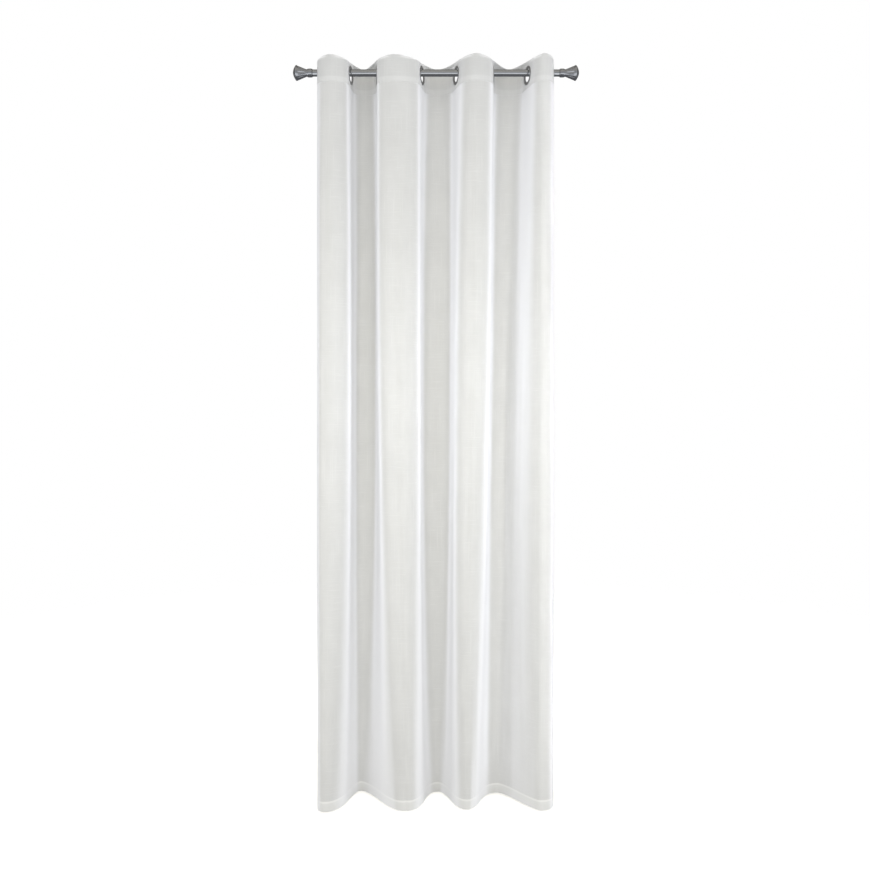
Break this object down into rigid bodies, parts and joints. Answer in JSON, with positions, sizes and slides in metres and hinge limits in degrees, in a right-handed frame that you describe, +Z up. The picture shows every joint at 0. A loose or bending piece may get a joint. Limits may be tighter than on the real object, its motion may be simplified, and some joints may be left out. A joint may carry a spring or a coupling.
{
  "type": "sheer voile curtain on rod",
  "caption": "Sheer white voile curtain with a ring heading and a bottom hem, hanging in soft uneven waves from a round metal rod with flared finials.",
  "frame": {"origin": "on the rod's axis, half way along the rod", "axes": "+X along the rod to the right as seen from the room, -Y towards the room, +Z up, along the curtain's drop"},
  "size_m": [0.9672, 0.1571, 2.5007],
  "materials": {
    "voile": "sheer white voile",
    "heading_voile": "doubled white voile",
    "ring_metal": "satin grey metal",
    "rod_metal": "satin nickel",
    "finial_metal": "satin nickel"
  },
  "bodies": {
    "root": {"panel": "voile", "heading": "heading_voile", "eyelet_1": "ring_metal", "eyelet_2": "ring_metal", "eyelet_3": "ring_metal", "eyelet_4": "ring_metal", "eyelet_5": "ring_metal", "eyelet_6": "ring_metal", "eyelet_7": "ring_metal", "eyelet_8": "ring_metal", "rod": "rod_metal", "finial_left": "finial_metal", "finial_right": "finial_metal"}
  },
  "joints": []
}
